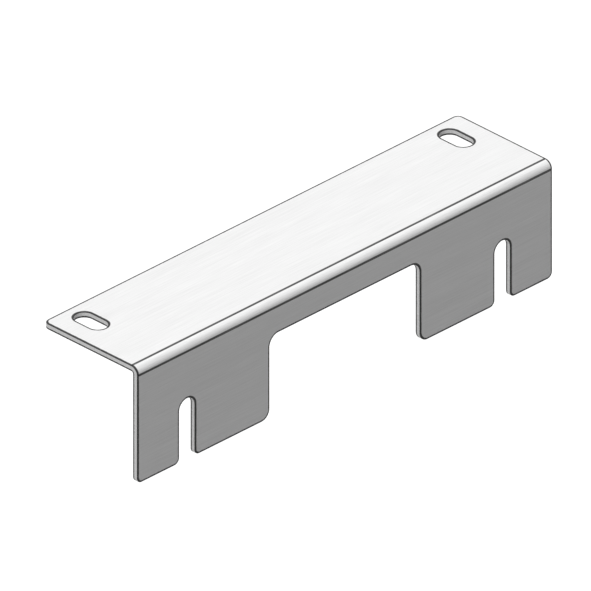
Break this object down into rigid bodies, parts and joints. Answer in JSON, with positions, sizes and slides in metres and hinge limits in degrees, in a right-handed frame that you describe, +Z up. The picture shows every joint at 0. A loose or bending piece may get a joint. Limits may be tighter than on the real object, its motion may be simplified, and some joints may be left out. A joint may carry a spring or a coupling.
{
  "type": "mounting bracket",
  "caption": "Sheet metal angle bracket: a top flange with slotted holes across its length, and a front flange cut into legs with slots open at the bottom.",
  "frame": {"origin": "on the top face, midway between the two slotted holes", "axes": "+X along the bracket, +Y towards the rear edge of the top flange, +Z up out of the top face"},
  "size_m": [0.1758, 0.0401, 0.04],
  "materials": {
    "sheet": "satin zinc coating with a fine grain along the bracket, darker at the laser cut edges and along the fold"
  },
  "bodies": {
    "root": {"bracket": "sheet"}
  },
  "joints": []
}
